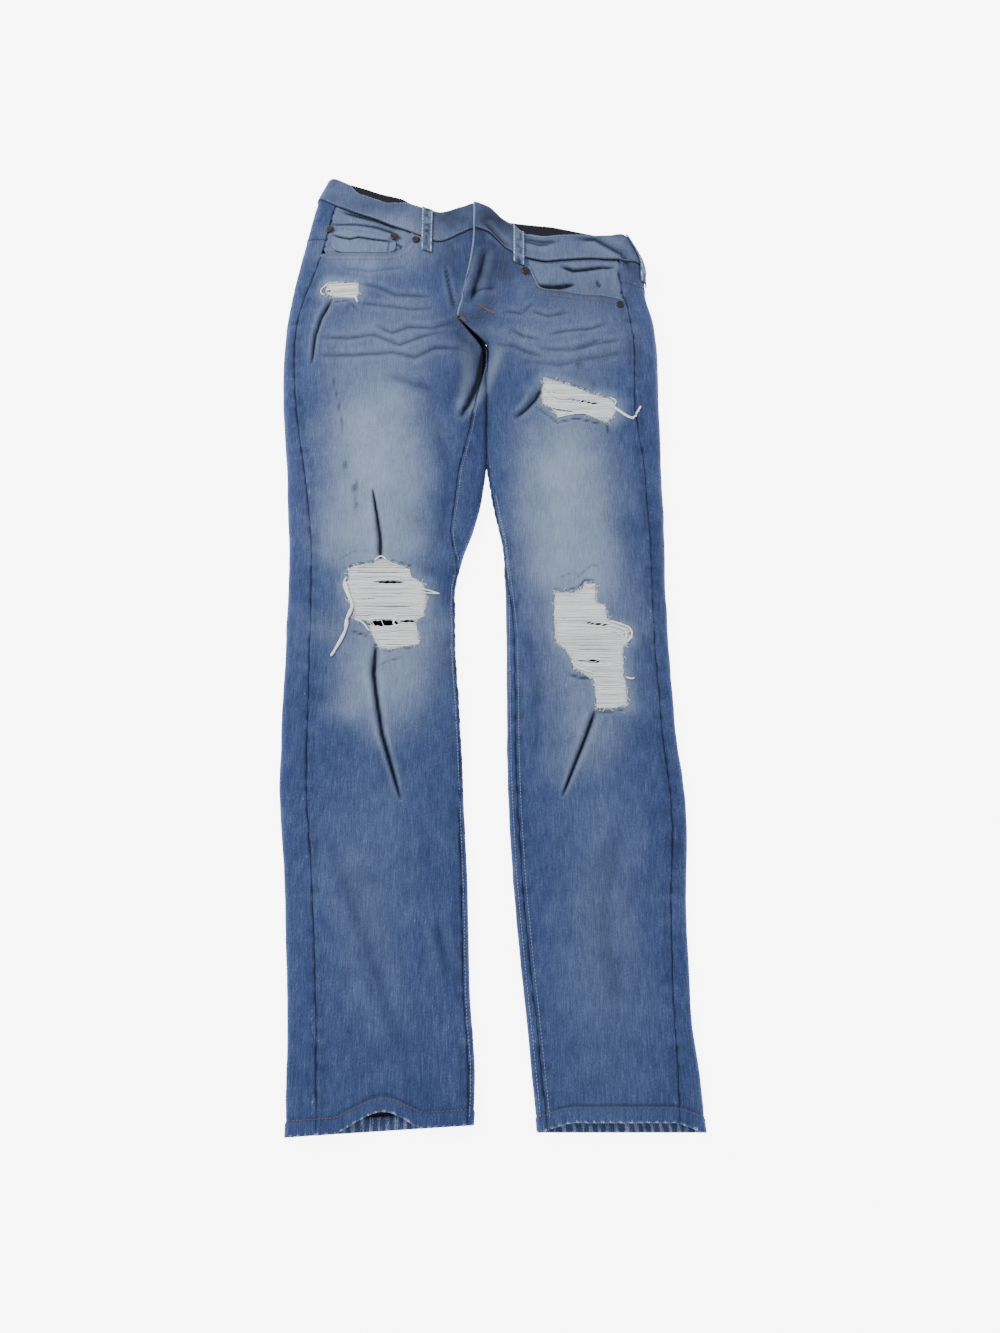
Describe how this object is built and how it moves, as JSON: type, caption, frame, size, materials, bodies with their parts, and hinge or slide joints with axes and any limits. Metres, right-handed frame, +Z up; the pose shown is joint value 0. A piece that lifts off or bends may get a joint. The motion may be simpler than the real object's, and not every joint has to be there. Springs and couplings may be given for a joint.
{
  "type": "ripped jeans",
  "caption": "Worn skinny denim trousers laid flat on their back, front up, with frayed rips on the hip, thigh and knees; five-pocket cut with an open waist and open legs.",
  "frame": {"origin": "centre of the bounding box at the surface that the garment lies on", "axes": "+Y along the legs from the hems towards the waist, +Z up out of the front, +X towards the wearer's left leg"},
  "size_m": [0.4298, 1.0904, 0.0402],
  "materials": {
    "denim": "washed, faded indigo twill",
    "denim_trim": "washed indigo twill with worn pale edges",
    "yarn": "bare undyed cotton weft and sewing thread",
    "rivet": "dark antique metal"
  },
  "bodies": {
    "root": {"front_panel_right": "denim", "front_panel_left": "denim", "back_panel_right": "denim", "back_panel_left": "denim", "yoke_right": "denim", "yoke_left": "denim", "waistband": "denim_trim", "belt_loop_front_right": "denim_trim", "belt_loop_front_left": "denim_trim", "belt_loop_side_left": "denim_trim", "belt_loop_back_right": "denim_trim", "belt_loop_centre_back": "denim_trim", "pocket_facing_right": "denim", "pocket_facing_left": "denim", "coin_pocket": "denim", "back_pocket_right": "denim", "back_pocket_left": "denim", "rip_yarns_hip_right": "yarn", "rip_yarns_thigh_left": "yarn", "rip_yarns_knee_right": "yarn", "rip_yarns_knee_left": "yarn", "rivet_coin_outer": "rivet", "rivet_coin_inner": "rivet", "rivet_pocket_right": "rivet", "rivet_pocket_left": "rivet", "rivet_side_left": "rivet"}
  },
  "joints": []
}
